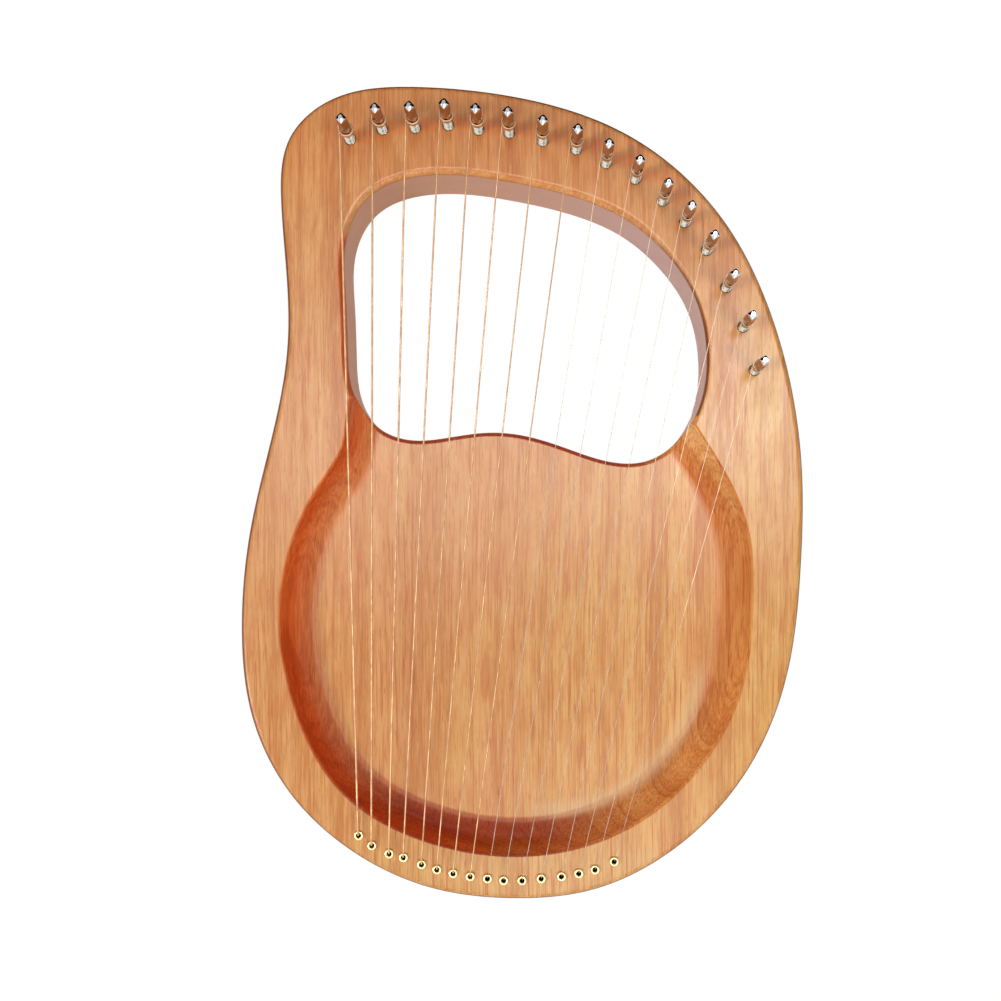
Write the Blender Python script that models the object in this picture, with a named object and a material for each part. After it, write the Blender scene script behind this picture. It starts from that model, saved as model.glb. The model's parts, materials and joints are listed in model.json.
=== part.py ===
"""Lyre harp with sixteen strings, lying on its back.

Metres, +Z up out of the front face, +Y towards the tuning pins, +X to the right as seen from the front.
The origin is under the middle of the outline, on the flat back.
Lengths below are in millimetres times MM.
"""
import math

import bmesh
import bpy
import numpy as np

MM = 0.001
GAP = 0.3 * MM
CUT_PAST = 2 * MM

# Board
THICKNESS = 26 * MM
FRONT_ROUND = 3 * MM
BACK_ROUND = 2 * MM
OPENING_ROUND = 2 * MM
DISH_DEPTH = 14 * MM
DISH_EASE = 0.8 * MM
BOARD_POINTS = 96
OPENING_POINTS = 66
DISH_POINTS = 72

# The outlines run clockwise from the top, in millimetres, as smooth curves through these points.
BOARD_OUTLINE = [
    (-52, 191.5), (-15, 188.6), (17, 182), (49, 169.3), (77, 149), (98, 124.3), (114.5, 92.2),
    (126.5, 52.5), (132, 12), (131.5, -35), (124, -90), (106, -131.5), (72, -168), (33, -187.5),
    (-4, -191.5), (-45, -186), (-80, -169.5), (-110, -141.5), (-127.5, -106), (-132.5, -66),
    (-128, -15), (-117.5, 30), (-110.8, 72), (-112, 110), (-114, 138), (-110, 167), (-91, 185),
]
OPENING_OUTLINE = [
    (-37, 150), (-8, 147), (22, 140.5), (49, 129.3), (69, 113), (82.5, 93.5), (89, 66), (86.5, 44.5),
    (76.5, 27), (60, 16.5), (45, 15.8), (22, 22.5), (0, 29), (-16, 30.4), (-36, 28), (-55, 26.8),
    (-71, 32.5), (-80.5, 46), (-84, 70), (-85, 94), (-84.5, 120), (-74, 139),
]
# The dish runs out into the opening, so its outline closes across the opening's empty space.
DISH_OUTLINE = [
    (0, 70), (48, 63), (71, 47), (83, 29.5), (98, 4.5), (107, -21), (108.5, -51), (103.5, -92), (84, -129),
    (51, -157.5), (8, -170.5), (-44, -164.5), (-86, -140), (-107, -102), (-114.5, -56), (-109, -24),
    (-95, 5), (-84.5, 23.5), (-82, 42), (-71, 59), (-44, 68),
]

# Tuning pins: a standard zither pin with a square head
PIN_RADIUS = 2.5 * MM
PIN_IN_BOARD = 18 * MM
PIN_ROUND_TO = 13 * MM
PIN_SQUARE_FROM = 14.5 * MM
PIN_ABOVE_FACE = 21.5 * MM
PIN_HEAD_WIDTH = 3.9 * MM
PIN_HEAD_TAPER = 0.93
PIN_HEAD_CHAMFER = 0.9 * MM
PIN_TIP_CHAMFER = 0.7 * MM
PIN_SIDES = 12
CROSS_HOLE_HEIGHT = 10.6 * MM
CROSS_HOLE_RADIUS = 0.75 * MM
CROSS_HOLE_SIDES = 8

# Eyelets and the holes through the lower rim
EYELET_BORE = 1.1 * MM
EYELET_TUBE = 1.6 * MM
EYELET_FLANGE = 2.2 * MM
EYELET_LENGTH = 7 * MM
EYELET_HEIGHT = 1 * MM
RECESS_RADIUS = 3.1 * MM
RECESS_DEPTH = 7 * MM
HOLE_SIDES = 10

# Strings
BALL_RADIUS = 2 * MM
BALL_LENGTH = 3.4 * MM
BALL_WAIST = 1.7 * MM
BALL_CHAMFER = 0.3 * MM
BALL_SIDES = 8
BALL_HEIGHT = RECESS_DEPTH - GAP - BALL_RADIUS
TURNS = 1.5
POINTS_PER_TURN = 12
TURN_SPACE = 0.48 * MM
STRING_SIDES = 6
BEND_RADIUS = 1.4 * MM
BEND_STEPS = 4
WOUND_STRINGS = 8

# One row for each string, from the longest side: the pin's place, the eyelet's place and the string's
# thickness, all in millimetres.
STRINGS = [
    ((-80.8, 165.7), (-76.7, -161.0), 0.95), ((-65.6, 170.3), (-70.5, -165.7), 0.90),
    ((-50.3, 171.1), (-62.4, -169.5), 0.84), ((-34.7, 172.3), (-55.7, -171.3), 0.78),
    ((-20.6, 170.2), (-47.2, -174.6), 0.72), ((-6.1, 168.8), (-40.0, -177.0), 0.68),
    ((9.6, 164.9), (-32.4, -178.8), 0.64), ((25.3, 161.0), (-24.4, -180.2), 0.60),
    ((39.3, 154.5), (-16.3, -181.2), 0.48), ((53.1, 147.2), (-8.7, -182.1), 0.46),
    ((65.9, 136.9), (-0.1, -182.1), 0.44), ((76.4, 126.8), (8.9, -181.2), 0.42),
    ((86.6, 113.7), (18.4, -180.2), 0.40), ((95.7, 96.2), (26.5, -178.8), 0.38),
    ((103.7, 77.7), (34.1, -177.0), 0.36), ((109.0, 57.3), (43.1, -173.2), 0.34),
]

SHARP_ANGLE = 40

WOOD = ("board_wood", (0.52, 0.22, 0.075), 0.42, 0.0)
PLATED_STEEL = ("plated_steel", (0.75, 0.76, 0.78), 0.12, 1.0)
BRONZE_WIRE = ("bronze_wire", (0.72, 0.42, 0.20), 0.30, 1.0)
STEEL_WIRE = ("steel_wire", (0.66, 0.66, 0.67), 0.22, 1.0)
BRASS = ("brass", (0.83, 0.58, 0.22), 0.22, 1.0)


def material(name, colour, roughness, metallic):
    """Returns the Principled material of this name, made on first use."""
    found = bpy.data.materials.get(name)
    if found:
        return found
    made = bpy.data.materials.new(name)
    made.use_nodes = True
    shader = made.node_tree.nodes["Principled BSDF"]
    shader.inputs["Base Color"].default_value = (*colour, 1)
    shader.inputs["Roughness"].default_value = roughness
    shader.inputs["Metallic"].default_value = metallic
    return made


def smooth_loop(points, count):
    """Returns count evenly spaced points of the closed cubic spline through the given points."""
    knots = np.array(points, float) * MM
    after = np.roll(knots, -1, axis=0)
    spans = np.linalg.norm(after - knots, axis=1)
    number = len(knots)
    system = np.zeros((number, number))
    slopes = (after - knots) / spans[:, None]
    for i in range(number):
        system[i, i - 1] += spans[i - 1]
        system[i, i] += 2 * (spans[i - 1] + spans[i])
        system[i, (i + 1) % number] += spans[i]
    bends = np.linalg.solve(system, 6 * (slopes - np.roll(slopes, 1, axis=0)))
    fine = []
    for i in range(number):
        t = np.linspace(0, 1, 24, endpoint=False)[:, None]
        u = 1 - t
        curve = (u**3 - u) * bends[i] + (t**3 - t) * bends[(i + 1) % number]
        fine.append(u * knots[i] + t * after[i] + spans[i] ** 2 / 6 * curve)
    fine = np.concatenate(fine)
    fine = np.vstack([fine, fine[:1]])
    along = np.concatenate([[0], np.cumsum(np.linalg.norm(np.diff(fine, axis=0), axis=1))])
    wanted = np.linspace(0, along[-1], count, endpoint=False)
    return np.stack([np.interp(wanted, along, fine[:, axis]) for axis in (0, 1)], axis=1)


def offset(loop, distance):
    """Moves a clockwise loop outwards by distance, or inwards where it is negative."""
    direction = np.roll(loop, -1, axis=0) - np.roll(loop, 1, axis=0)
    direction /= np.linalg.norm(direction, axis=1)[:, None]
    outward = np.stack([-direction[:, 1], direction[:, 0]], axis=1)
    return loop + outward * distance


def quarter(radius, steps):
    """Returns the (inset, drop) pairs of a quarter round, from the side wall to the flat face."""
    angles = [math.pi / 2 * step / steps for step in range(steps + 1)]
    return [(radius * (1 - math.cos(a)), radius * (1 - math.sin(a))) for a in angles]


def circle(radius, sides, centre=(0, 0), turn=0.0):
    angles = turn - np.arange(sides) * 2 * math.pi / sides
    return np.stack([centre[0] + radius * np.cos(angles), centre[1] + radius * np.sin(angles)], axis=1)


def new_object(name, mesh, look=None):
    made = bpy.data.objects.new(name, mesh)
    bpy.context.scene.collection.objects.link(made)
    if look and not mesh.materials:
        mesh.materials.append(material(*look))
    return made


def shade(mesh):
    """Shades round faces smooth and keeps the edges between flat ones crisp."""
    mesh.shade_smooth()
    mesh.set_sharp_from_angle(angle=math.radians(SHARP_ANGLE))
    return mesh


def skin(name, *shells, closed=False):
    """Returns a mesh with one skin for each list of rings.

    A skin is capped at both ends, or its last ring joins its first where closed is true.
    """
    bm = bmesh.new()
    for rings in shells:
        placed = [[bm.verts.new(point) for point in ring] for ring in rings]
        pairs = list(zip(placed, placed[1:]))
        if closed:
            pairs.append((placed[-1], placed[0]))
        else:
            bm.faces.new(placed[0])
            bm.faces.new(placed[-1])
        for low, high in pairs:
            for i in range(len(low)):
                j = (i + 1) % len(low)
                bm.faces.new((low[i], low[j], high[j], high[i]))
    bmesh.ops.recalc_face_normals(bm, faces=bm.faces)
    mesh = bpy.data.meshes.new(name)
    bm.to_mesh(mesh)
    bm.free()
    return shade(mesh)


def stack(levels):
    """Turns (loop, height) levels into rings of 3-D points."""
    return [[(x, y, height) for x, y in loop] for loop, height in levels]


def combine(target, tool_mesh, operation="DIFFERENCE"):
    """Cuts the tool's shape out of the target, or joins it on, and keeps the result as its mesh."""
    tool = new_object("tool", tool_mesh)
    change = target.modifiers.new("combine", "BOOLEAN")
    change.object = tool
    change.operation = operation
    change.solver = "EXACT"
    depsgraph = bpy.context.evaluated_depsgraph_get()
    shaped = bpy.data.meshes.new_from_object(target.evaluated_get(depsgraph))
    shaped.name = target.data.name
    target.modifiers.clear()
    target.data = shade(shaped)
    bpy.data.objects.remove(tool)


def board_blank():
    """The board's outline with a small round on the back edge and a larger one on the front edge."""
    outline = smooth_loop(BOARD_OUTLINE, BOARD_POINTS)
    back = [(offset(outline, -inset), drop) for inset, drop in quarter(BACK_ROUND, 2)]
    front = [(offset(outline, -inset), THICKNESS - drop) for inset, drop in quarter(FRONT_ROUND, 3)]
    return skin("board", stack(back[::-1] + front))


def dish_shape():
    """The dish: a flat floor, a quarter-round cove up to the rim, and the eased edge of the rim."""
    rim = smooth_loop(DISH_OUTLINE, DISH_POINTS)
    floor = THICKNESS - DISH_DEPTH
    cove = [(offset(rim, -inset), floor + rise) for inset, rise in quarter(DISH_DEPTH - DISH_EASE, 5)]
    eased = offset(rim, DISH_EASE)
    return skin("dish", stack(cove[::-1] + [(eased, THICKNESS), (eased, THICKNESS + CUT_PAST)]))


def opening_shape():
    """The opening's straight wall, flared where it meets the two faces."""
    outline = smooth_loop(OPENING_OUTLINE, OPENING_POINTS)
    flare = [(offset(outline, reach), drop) for reach, drop in quarter(OPENING_ROUND, 2)]
    widest = flare[-1][0]
    back = [(widest, -CUT_PAST)] + flare[::-1]
    front = [(loop, THICKNESS - drop) for loop, drop in flare] + [(widest, THICKNESS + CUT_PAST)]
    return skin("opening", stack(back + front))


def pin_holes():
    """Blind holes for the pins, a little wider and deeper than the pins."""
    wells = []
    for place, _, _ in STRINGS:
        ring = circle(PIN_RADIUS + GAP, PIN_SIDES, np.array(place) * MM)
        wells.append(stack([(ring, THICKNESS - PIN_IN_BOARD - GAP), (ring, THICKNESS + CUT_PAST)]))
    return skin("pin_holes", *wells)


def string_holes():
    """Holes for the eyelets' tubes, each with a wider recess at the back for the ball end."""
    wells = []
    for _, place, _ in STRINGS:
        recess = circle(RECESS_RADIUS, HOLE_SIDES, np.array(place) * MM)
        bore = circle(EYELET_TUBE + GAP, HOLE_SIDES, np.array(place) * MM)
        wide = [(recess, -CUT_PAST), (recess, RECESS_DEPTH)]
        narrow = [(bore, RECESS_DEPTH), (bore, THICKNESS + CUT_PAST)]
        wells.append(stack(wide + narrow))
    return skin("string_holes", *wells)


def make_board():
    board = new_object("board", board_blank(), WOOD)
    for shape in (dish_shape(), opening_shape(), pin_holes(), string_holes()):
        combine(board, shape)


def square_ring(width, height):
    """Twelve points round a square: its corners and two points on each side."""
    half = width / 2
    ring = []
    for angle in np.radians(45 - np.arange(PIN_SIDES) * 360 / PIN_SIDES):
        reach = half / max(abs(math.cos(angle)), abs(math.sin(angle)))
        ring.append((reach * math.cos(angle), reach * math.sin(angle), height))
    return ring


def pin_mesh():
    """A pin on its own axis, with its cross hole along X and the board's face at zero height."""
    shank = circle(PIN_RADIUS, PIN_SIDES, turn=math.pi / 4)
    tip = circle(PIN_RADIUS - PIN_TIP_CHAMFER, PIN_SIDES, turn=math.pi / 4)
    rings = stack([(tip, -PIN_IN_BOARD), (shank, PIN_TIP_CHAMFER - PIN_IN_BOARD), (shank, PIN_ROUND_TO)])
    top_width = PIN_HEAD_WIDTH * PIN_HEAD_TAPER
    rings.append(square_ring(PIN_HEAD_WIDTH, PIN_SQUARE_FROM))
    rings.append(square_ring(top_width, PIN_ABOVE_FACE - PIN_HEAD_CHAMFER))
    rings.append(square_ring(top_width - 2 * PIN_HEAD_CHAMFER, PIN_ABOVE_FACE))
    pin = new_object("pin", skin("tuning_pin", rings), PLATED_STEEL)
    hole_ring = circle(CROSS_HOLE_RADIUS, CROSS_HOLE_SIDES)
    ends = (-2 * PIN_RADIUS, 2 * PIN_RADIUS)
    combine(pin, skin("cross_hole", [[(x, y, CROSS_HOLE_HEIGHT + z) for y, z in hole_ring] for x in ends]))
    mesh = pin.data
    bpy.data.objects.remove(pin)
    return mesh


def eyelet_mesh():
    """A turned eyelet on its own axis, with the board's face at zero height."""
    crown = (EYELET_FLANGE + EYELET_BORE) / 2
    profile = [
        (EYELET_BORE, -EYELET_LENGTH),
        (EYELET_TUBE, -EYELET_LENGTH),
        (EYELET_TUBE, GAP),
        (EYELET_FLANGE, GAP),
        (EYELET_FLANGE, GAP + EYELET_HEIGHT / 3),
        (crown, GAP + EYELET_HEIGHT),
        (EYELET_BORE, GAP + EYELET_HEIGHT / 3),
    ]
    rings = stack([(circle(radius, HOLE_SIDES), height) for radius, height in profile])
    return skin("eyelet", rings, closed=True)


def winding(pin, leave_angle, thickness):
    """Points from the pin's cross hole, out, round the pin and down to where the string leaves it.

    The string leaves the hole straight for one thickness, bends, and closes on the pin.
    """
    surface = PIN_RADIUS + GAP
    circle_radius = surface + thickness / 2
    start_angle = leave_angle - TURNS * 2 * math.pi
    bend = 0.9 * thickness
    straight = surface + thickness
    flat = [(surface, 0), (straight, 0)]
    for angle in np.radians((30, 60, 90)):
        flat.append((straight + bend * math.sin(angle), bend * (1 - math.cos(angle))))
    across = np.array([math.cos(start_angle), math.sin(start_angle)])
    along = np.array([-across[1], across[0]])
    top = THICKNESS + CROSS_HOLE_HEIGHT
    points = [(*(pin + across * out + along * side), top) for out, side in flat]
    bent_radius = math.hypot(*flat[-1])
    bent_angle = math.atan2(flat[-1][1], flat[-1][0])
    swept = TURNS * 2 * math.pi - bent_angle
    steps = round(TURNS * POINTS_PER_TURN)
    pitch = thickness + TURN_SPACE
    for step in range(1, steps + 1):
        turned = swept * step / steps
        closing = min(1, turned / (math.pi / 2))
        ease = closing * closing * (3 - 2 * closing)
        radius = bent_radius + (circle_radius - bent_radius) * ease
        angle = start_angle + bent_angle + turned
        height = top - pitch * turned / (2 * math.pi)
        points.append((pin[0] + radius * math.cos(angle), pin[1] + radius * math.sin(angle), height))
    return np.array(points)


def string_path(pin, eyelet, thickness):
    """The string's centre line from its pin down to its ball end, and how many points are winding."""
    back = eyelet - pin
    wrap_radius = PIN_RADIUS + GAP + thickness / 2
    leave_angle = math.atan2(back[1], back[0]) - math.acos(wrap_radius / np.linalg.norm(back))
    wound = winding(pin, leave_angle, thickness)
    level = THICKNESS + GAP + EYELET_HEIGHT + GAP + thickness / 2
    run = wound[-1] - (*eyelet, level)
    length = np.linalg.norm(run[:2])
    outward = np.array([*run[:2] / length, 0])
    over = math.pi / 2 - math.atan(run[2] / length)
    bend = []
    for angle in np.linspace(over, 0, BEND_STEPS + 1):
        rise = level - BEND_RADIUS * (1 - math.sin(angle))
        bend.append(outward * BEND_RADIUS * (1 - math.cos(angle)) + (*eyelet, rise))
    return np.vstack([wound, bend, [(*eyelet, BALL_HEIGHT)]]), len(wound)


def tube_rings(points, radius):
    """Rings square to a path, turned as little as possible from one to the next."""
    tangents = np.gradient(points, axis=0)
    tangents /= np.linalg.norm(tangents, axis=1)[:, None]
    side = np.array([0, 0, 1.0])
    rings = []
    for point, tangent in zip(points, tangents):
        side = side - tangent * side.dot(tangent)
        side /= np.linalg.norm(side)
        other = np.cross(tangent, side)
        rings.append([point + side * x + other * y for x, y in circle(radius, STRING_SIDES)])
    return rings


def least_gap(points, thickness):
    """The least space between parts of the winding that lie at least half a turn apart."""
    apart = POINTS_PER_TURN // 2
    distances = [np.linalg.norm(points[i + apart:] - points[i], axis=1) for i in range(len(points) - apart)]
    return np.concatenate(distances).min() - thickness


def ball_end(eyelet):
    """The waisted barrel at the string's end, which lies across the string in the recess."""
    half = BALL_LENGTH / 2
    profile = [
        (-half, BALL_RADIUS - BALL_CHAMFER),
        (BALL_CHAMFER - half, BALL_RADIUS),
        (0, BALL_WAIST),
        (half - BALL_CHAMFER, BALL_RADIUS),
        (half, BALL_RADIUS - BALL_CHAMFER),
    ]
    centre = (eyelet[1], BALL_HEIGHT)
    rings = [[(eyelet[0] + x, y, z) for y, z in circle(radius, BALL_SIDES, centre)] for x, radius in profile]
    return skin("ball_end", rings)


def make_string(number, pin, eyelet, thickness):
    """Makes one string and returns the direction of its pin's cross hole and its least gap."""
    points, wound = string_path(pin, eyelet, thickness)
    name = f"string_{number:02d}"
    look = BRONZE_WIRE if number <= WOUND_STRINGS else STEEL_WIRE
    string = new_object(name, skin(name, tube_rings(points, thickness / 2)), look)
    combine(string, ball_end(eyelet), "UNION")
    start = points[0][:2] - pin
    return math.atan2(start[1], start[0]), least_gap(points[:wound], thickness)


def main():
    for old in list(bpy.data.objects):
        bpy.data.objects.remove(old)
    make_board()
    pin_shape = pin_mesh()
    eyelet_shape = eyelet_mesh()
    gaps = []
    for number, (pin_place, eyelet_place, thickness) in enumerate(STRINGS, 1):
        pin = np.array(pin_place) * MM
        eyelet = np.array(eyelet_place) * MM
        hole_angle, gap = make_string(number, pin, eyelet, thickness * MM)
        gaps.append(gap)
        tuning_pin = new_object(f"tuning_pin_{number:02d}", pin_shape, PLATED_STEEL)
        tuning_pin.location = (*pin, THICKNESS)
        tuning_pin.rotation_euler.z = hole_angle
        new_object(f"eyelet_{number:02d}", eyelet_shape, BRASS).location = (*eyelet, THICKNESS)
    print(f"least gap between a string's turns: {min(gaps) / MM:.2f} mm")


main()
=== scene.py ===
"""Lyre harp lying on its back, seen from straight above.

Everything is in metres in the frame's own axes: +X to the right, +Y towards the tuning pins, +Z out of
the front face. Lengths below are in millimetres times MM.
"""
import json
import math

import bmesh
import bpy
import numpy as np
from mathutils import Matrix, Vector


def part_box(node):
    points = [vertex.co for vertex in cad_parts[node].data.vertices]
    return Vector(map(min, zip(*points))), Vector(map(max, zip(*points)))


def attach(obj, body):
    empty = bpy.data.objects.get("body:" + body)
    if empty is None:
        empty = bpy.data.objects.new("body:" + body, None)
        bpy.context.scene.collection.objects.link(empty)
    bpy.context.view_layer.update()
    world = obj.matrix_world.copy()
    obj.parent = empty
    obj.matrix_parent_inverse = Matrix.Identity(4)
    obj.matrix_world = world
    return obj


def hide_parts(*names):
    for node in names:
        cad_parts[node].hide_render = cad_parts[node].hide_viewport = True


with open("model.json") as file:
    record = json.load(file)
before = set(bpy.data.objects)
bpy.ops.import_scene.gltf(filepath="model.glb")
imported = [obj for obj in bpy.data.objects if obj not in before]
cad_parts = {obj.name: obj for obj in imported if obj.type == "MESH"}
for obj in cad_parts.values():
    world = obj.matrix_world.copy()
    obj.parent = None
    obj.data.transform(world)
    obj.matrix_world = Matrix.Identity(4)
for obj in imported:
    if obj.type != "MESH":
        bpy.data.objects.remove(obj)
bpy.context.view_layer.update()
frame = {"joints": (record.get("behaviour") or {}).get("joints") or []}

MM = 0.001
GAP = 0.3 * MM
CUT_PAST = 2 * MM

# Board
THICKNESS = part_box("board")[1].z
FRONT_ROUND = 3 * MM
BACK_ROUND = 2 * MM
OPENING_ROUND = 2 * MM
FACE_ROUND = 2.3 * MM
LEFT_FACE_ROUND = 3.8 * MM
TOP_FACE_ROUND = 3.2 * MM
DISH_DEPTH = 14 * MM
DISH_EASE = 1.6 * MM
DISH_EASE_OUT = 0.4 * MM
COVE_HEIGHT = DISH_DEPTH - DISH_EASE
COVE_WIDTH = 14 * MM
BOARD_POINTS = 420
OPENING_POINTS = 300
DISH_POINTS = 320
SPLINE_STEPS = 60
BACK_STEPS = 6
FRONT_STEPS = 9
COVE_STEPS = 22
EASE_STEPS = 6
BRIM_STEPS = 7

# Where the rounding of the opening's front edge starts to grow and where it is whole: how far to the left
# and how far up on the left arm, and how far up under the yoke
ARM_SIDE = (55 * MM, 75 * MM)
ARM_FOOT = (38 * MM, 62 * MM)
YOKE_START = (106 * MM, 127 * MM)

# The outlines run clockwise from the top, in millimetres, as smooth curves through these points.
BOARD_OUTLINE = [
    (-52, 191.5), (-15, 188.6), (17, 182), (49, 169.3), (77, 149), (98, 124.3), (114.5, 92.2),
    (126.5, 52.5), (132, 12), (131.5, -35), (124, -90), (106, -131.5), (72, -168), (33, -187.5),
    (-4, -191.5), (-45, -186), (-80, -169.5), (-110, -141.5), (-127.5, -106), (-132.5, -66),
    (-128, -15), (-117.5, 30), (-110.8, 72), (-112, 110), (-114, 138), (-110, 167), (-91, 185),
]
OPENING_OUTLINE = [
    (-37, 150), (-8, 147), (22, 140.2), (49, 128.7), (68.3, 112), (81, 92.7), (86.8, 66), (84.7, 44.8),
    (76, 27.3), (60, 16.5), (45, 15.8), (22, 22.5), (0, 29), (-16, 30.4), (-36, 28), (-55, 26.8),
    (-70.5, 33), (-79.3, 46), (-82.5, 70), (-83.4, 94), (-82.9, 120), (-73.3, 138.6),
]
# The dish runs out into the opening, so its outline closes across the opening's empty space.
DISH_OUTLINE = [
    (0, 70), (48, 63), (71, 47), (83, 29.5), (98, 4.5), (107, -21), (108.5, -51), (103.5, -92), (84, -129),
    (51, -157.5), (8, -170.5), (-44, -164.5), (-86, -140), (-107, -102), (-114.5, -56), (-109, -24),
    (-95, 5), (-84.5, 23.5), (-82, 42), (-71, 59), (-44, 68),
]

# Tuning pins
PIN_RADIUS = 2.5 * MM
PIN_IN_BOARD = 18 * MM
PIN_ABOVE_FACE = 21.5 * MM
PIN_HEAD_WIDTH = 3.9 * MM
PIN_HEAD_TAPER = 0.93
PIN_TOP_RADIUS = 0.9 * MM
PIN_CONE_SLOPE = 0.9
PIN_SQUARE_FROM = 14.5 * MM
PIN_RUN_OUT = 2.2 * MM
PIN_TIP_CHAMFER = 0.7 * MM
PIN_SIDES = 64
THREAD_PITCH = 0.6 * MM
THREAD_DEPTH = 0.28 * MM
THREAD_STEPS = 5
THREAD_BOTTOM = -1 * MM
THREAD_TOP = 7.2 * MM
THREAD_FADE = 1 * MM
SHANK_STEP = 0.6 * MM
RUN_OUT_LEVELS = 10
PIN_CONE_HEIGHT = 2.2 * MM
PIN_CONE_LEVELS = 12
CROSS_HOLE_HEIGHT = 10.6 * MM
CROSS_HOLE_RADIUS = 0.75 * MM
CROSS_HOLE_SIDES = 24

# Eyelets and the holes through the lower rim
EYELET_BORE = 1.1 * MM
EYELET_TUBE = 1.6 * MM
EYELET_FLANGE = 2.2 * MM
EYELET_LENGTH = 7 * MM
EYELET_HEIGHT = 1 * MM
EYELET_LIP = 0.25 * MM
EYELET_UNDERCUT = 0.12 * MM
EYELET_DOME_POINTS = 15
RECESS_RADIUS = 3.1 * MM
RECESS_DEPTH = 7 * MM
HOLE_SIDES = 40

# Strings. Eight wound ones come first; the winding's pitch is the string's thickness and TURN_SPACE.
THICKNESSES = [0.95, 0.90, 0.84, 0.78, 0.72, 0.68, 0.64, 0.60, 0.25, 0.24, 0.24, 0.23, 0.23, 0.22, 0.22, 0.21]
WOUND_STRINGS = 8
TURNS = 1.25
WINDING_GAP = 0.1 * MM
FIRST_BEND = 0.9
POINTS_PER_TURN = 36
TURN_SPACE = 0.48 * MM
STRING_SIDES = 12
BEND_RADIUS = 0.8 * MM
LEG_SHIFT = 0.45 * MM
BEND_STEPS = 10
BALL_RADIUS = 2 * MM
BALL_LENGTH = 3.4 * MM
BALL_WAIST = 1.7 * MM
BALL_CHAMFER = 0.3 * MM
BALL_FACE = 0.9 * MM
BALL_SIDES = 32
BALL_HEIGHT = RECESS_DEPTH - GAP - BALL_RADIUS

# Camera, from the photograph's 1001 x 1001 pixels
IMAGE_SIZE = 1001
SENSOR = 36.0
CAMERA_ABOVE_FACE = 430 * MM
PIXELS_PER_METRE = 2130
PRINCIPAL_PIXEL = (540, 570)
ORIGIN_PIXEL = (522.25, 492.25)

# The angle in degrees beyond which an edge is shaded as sharp, and the floor in metres
SHARP_ANGLE = 30
FLOOR_RADIUS = 6
FLOOR_SIDES = 64
FLOOR_DEPTH = 0.02

# Wood colours, from light to dark, and the factors that change them on the slopes of the dish and the
# opening, which are painted shade and painted light, at the foot partly also the darker end grain: as the
# surface turns up to the left rim, the right rim and the foot, and at the upper right by how steep it is
RAMP_WOOD = [(0.0, (0.70, 0.345, 0.132)), (0.5, (0.62, 0.268, 0.088)), (1.0, (0.51, 0.185, 0.052))]
LEFT_SLOPE_SHADE = [
    (0.0, (1, 1, 1)), (0.1, (1.06, 0.88, 0.80)), (0.36, (1.10, 0.72, 0.52)), (0.64, (1.08, 0.56, 0.36)),
    (0.86, (1.01, 0.40, 0.19)), (1.0, (1.12, 0.62, 0.38)),
]
RIGHT_SLOPE_SHADE = [
    (0.0, (1, 1, 1)), (0.09, (0.94, 0.72, 0.54)), (0.6, (0.95, 0.70, 0.52)), (1.0, (1.0, 0.80, 0.62)),
]
FOOT_SHADE_AND_END_GRAIN = [
    (0.0, (1, 1, 1)), (0.03, (0.86, 0.70, 0.60)), (0.08, (0.64, 0.36, 0.23)), (0.2, (0.50, 0.17, 0.08)),
    (0.38, (0.50, 0.14, 0.05)), (0.65, (0.60, 0.20, 0.08)), (0.85, (0.72, 0.28, 0.13)),
    (1.0, (1.05, 0.62, 0.40)),
]
UPPER_RIGHT_LIGHT_AND_SHADE = [
    (0.0, (1, 1, 1)), (0.08, (1.03, 1.12, 1.22)), (0.16, (1.0, 1.0, 1.0)), (0.25, (0.89, 0.62, 0.46)),
    (0.36, (0.98, 0.90, 0.84)), (0.72, (1.0, 1.0, 1.0)), (0.83, (1.25, 1.75, 2.5)), (1.0, (1.35, 2.0, 3.1)),
]
DARK_FLECK = (0.52, 0.155, 0.045)
PALE_FLECK = (0.72, 0.40, 0.17)
DARK_LINE = (0.51, 0.14, 0.037)
DARK_STREAK = (0.55, 0.17, 0.05)
PORE = (0.33, 0.085, 0.022)
# The colour of a painted sheen at the foot of the dish's cove
PAINTED_SHEEN = (0.72, 0.54, 0.31)

# Places in the wood, in millimetres. A reach is the distance from the middle where a part has faded out,
# then where it is whole.
WOOD_HEART = (-45, 0, 90)
DISH_MIDDLE = (-6, -50, 20)
DISH_REACH = (124, 122.2)
OPENING_MIDDLE = (0, 84, 13)
OPENING_REACH = (98.5, 97)
ARC_MIDDLE = (11.5, -78.7, 12)
STREAK_MIDDLE = (-18, -88, 0)
STREAK_SIZE = (2.8, 16)
# The painted shadow beside each pin: how far it lies to the right and up from the pin, and its size
PIN_SHADOW_SHIFT = (8, 1.5)
PIN_SHADOW_SIZE = (10, 4)


def smooth_loop(points, count):
    """Returns count evenly spaced points of the closed cubic spline through the given points."""
    knots = np.array(points, float) * MM
    after = np.roll(knots, -1, axis=0)
    spans = np.linalg.norm(after - knots, axis=1)
    number = len(knots)
    system = np.zeros((number, number))
    slopes = (after - knots) / spans[:, None]
    for i in range(number):
        system[i, i - 1] += spans[i - 1]
        system[i, i] += 2 * (spans[i - 1] + spans[i])
        system[i, (i + 1) % number] += spans[i]
    bends = np.linalg.solve(system, 6 * (slopes - np.roll(slopes, 1, axis=0)))
    fine = []
    for i in range(number):
        t = np.linspace(0, 1, SPLINE_STEPS, endpoint=False)[:, None]
        u = 1 - t
        curve = (u**3 - u) * bends[i] + (t**3 - t) * bends[(i + 1) % number]
        fine.append(u * knots[i] + t * after[i] + spans[i] ** 2 / 6 * curve)
    fine = np.concatenate(fine)
    fine = np.vstack([fine, fine[:1]])
    along = np.concatenate([[0], np.cumsum(np.linalg.norm(np.diff(fine, axis=0), axis=1))])
    wanted = np.linspace(0, along[-1], count, endpoint=False)
    return np.stack([np.interp(wanted, along, fine[:, axis]) for axis in (0, 1)], axis=1)


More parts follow.
